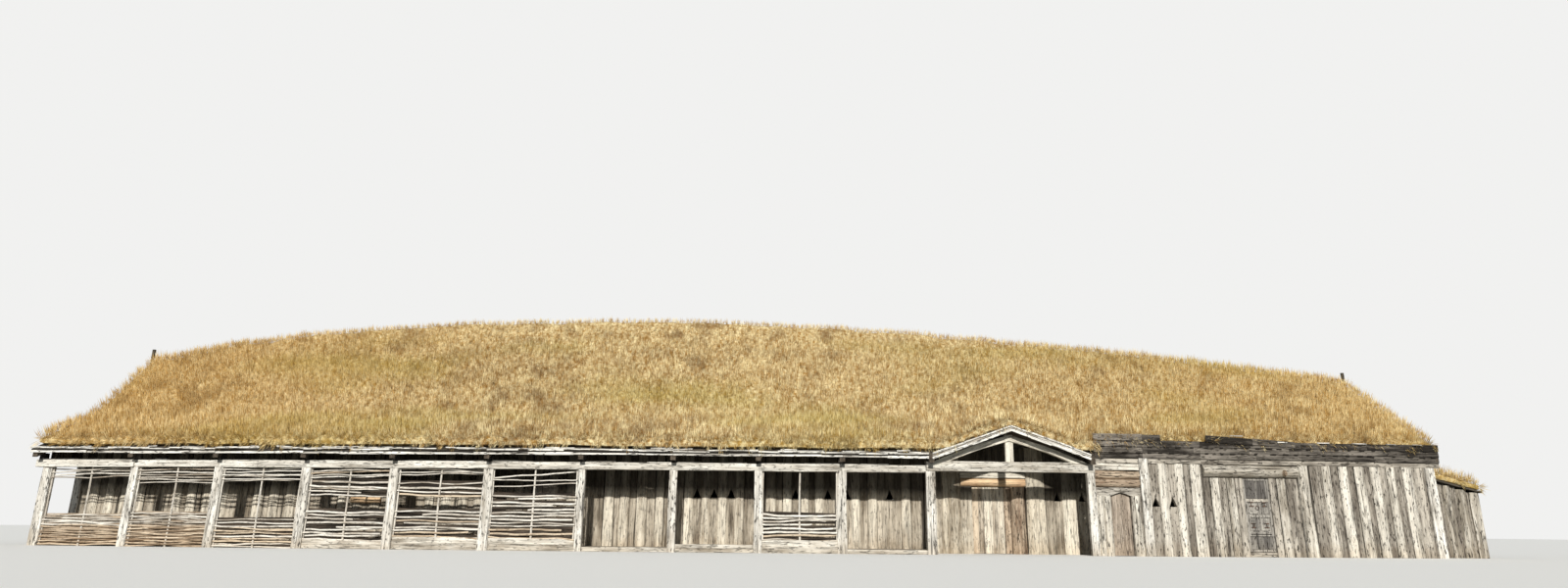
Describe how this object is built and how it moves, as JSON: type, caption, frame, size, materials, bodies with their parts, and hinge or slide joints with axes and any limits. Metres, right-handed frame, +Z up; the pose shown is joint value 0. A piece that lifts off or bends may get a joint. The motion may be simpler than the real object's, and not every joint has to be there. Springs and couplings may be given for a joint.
{
  "type": "turf house",
  "caption": "Long turf-roofed timber hall with a bowed ridge, an open gallery with woven rails, a gabled porch and a closed wing of split staves.",
  "frame": {"origin": "on the ground, under the middle of the whole house", "axes": "+X along the front to the right, +Y from the front into the house, +Z up"},
  "size_m": [35.855, 9.808, 6.38],
  "materials": {
    "pale_timber": "rough, sun-bleached and cracked",
    "cream_timber": "rough, bleached cream",
    "edge_boards": "split, ragged and nearly white",
    "sill_timber": "weathered brown",
    "floor_planks": "grey planks",
    "woven_rods": "bleached, peeled rods",
    "hall_staves": "split staves, pale and cracked",
    "grey_staves": "grey staves",
    "brown_timber": "reddish brown, rough",
    "orange_log": "orange brown log",
    "door_boards": "pale grey boards",
    "dark_panels": "dark grey panels",
    "iron": "forged and rusted",
    "frame_timber": "dark brown, hewn",
    "dark_boards": "tarred, nearly black",
    "turf": "dry straw-coloured grass on sods"
  },
  "bodies": {
    "house": {"gallery_posts": "pale_timber", "gallery_beam": "pale_timber", "eave_boards": "edge_boards", "gallery_sills": "sill_timber", "gallery_floor": "floor_planks", "wattle_bay_1": "woven_rods", "wattle_bay_2": "woven_rods", "wattle_bay_3": "woven_rods", "wattle_bay_4": "woven_rods", "wattle_bay_5": "woven_rods", "wattle_bay_6": "woven_rods", "wattle_bay_9": "woven_rods", "porch_posts": "pale_timber", "porch_tie_beam": "pale_timber", "porch_king_post": "pale_timber", "porch_truss": "cream_timber", "porch_verge_boards": "edge_boards", "hall_wall_west": "hall_staves", "hall_wall_middle": "hall_staves", "hall_wall_peeps": "hall_staves", "hall_wall_pairs": "hall_staves", "porch_wall_left": "hall_staves", "porch_wall_right": "hall_staves", "main_door_jambs": "brown_timber", "main_door_lintel": "orange_log", "main_door_overwall": "hall_staves", "wall_plates": "pale_timber", "return_wall": "hall_staves", "small_door_walls": "grey_staves", "small_door_lintel": "grey_staves", "small_door_logs": "sill_timber", "wing_posts": "pale_timber", "wing_wall_left": "grey_staves", "wing_wall_panel": "grey_staves", "wing_wall_right": "grey_staves", "wing_lintel_log": "pale_timber", "wing_plate": "brown_timber", "wing_lapped_boards": "dark_boards", "panel_door_sill": "hall_staves", "door_pintles": "iron", "corner_posts": "pale_timber", "back_wall": "grey_staves", "left_gable_wall": "grey_staves", "right_gable_wall": "grey_staves", "rafters": "frame_timber", "hall_frames": "frame_timber", "roof_boards_front": "dark_boards", "roof_boards_back": "dark_boards", "turf_front": "turf", "turf_back": "turf", "ridge_stakes": "dark_boards", "annex_walls": "grey_staves", "annex_roof_boards": "dark_boards", "annex_turf_roof": "turf"},
    "main_door": {"main_door": "door_boards", "main_door_straps": "iron"},
    "small_door": {"small_door": "door_boards", "small_door_straps": "iron"},
    "panel_door": {"panel_door": "dark_panels", "panel_door_straps": "iron"}
  },
  "joints": [
    {"name": "main_door_swing", "type": "hinge", "parent": "house", "child": "main_door", "pos_m": [5.2153, -3.0305, 0.01], "axis": [0, 0, 1], "range_deg": [0, 90]},
    {"name": "small_door_swing", "type": "hinge", "parent": "house", "child": "small_door", "pos_m": [8.3177, -4.0878, 0.01], "axis": [0, 0, 1], "range_deg": [0, 90]},
    {"name": "panel_door_swing", "type": "hinge", "parent": "house", "child": "panel_door", "pos_m": [12.2146, -3.8191, 0.12], "axis": [0, 0, -1], "range_deg": [0, 90]}
  ]
}
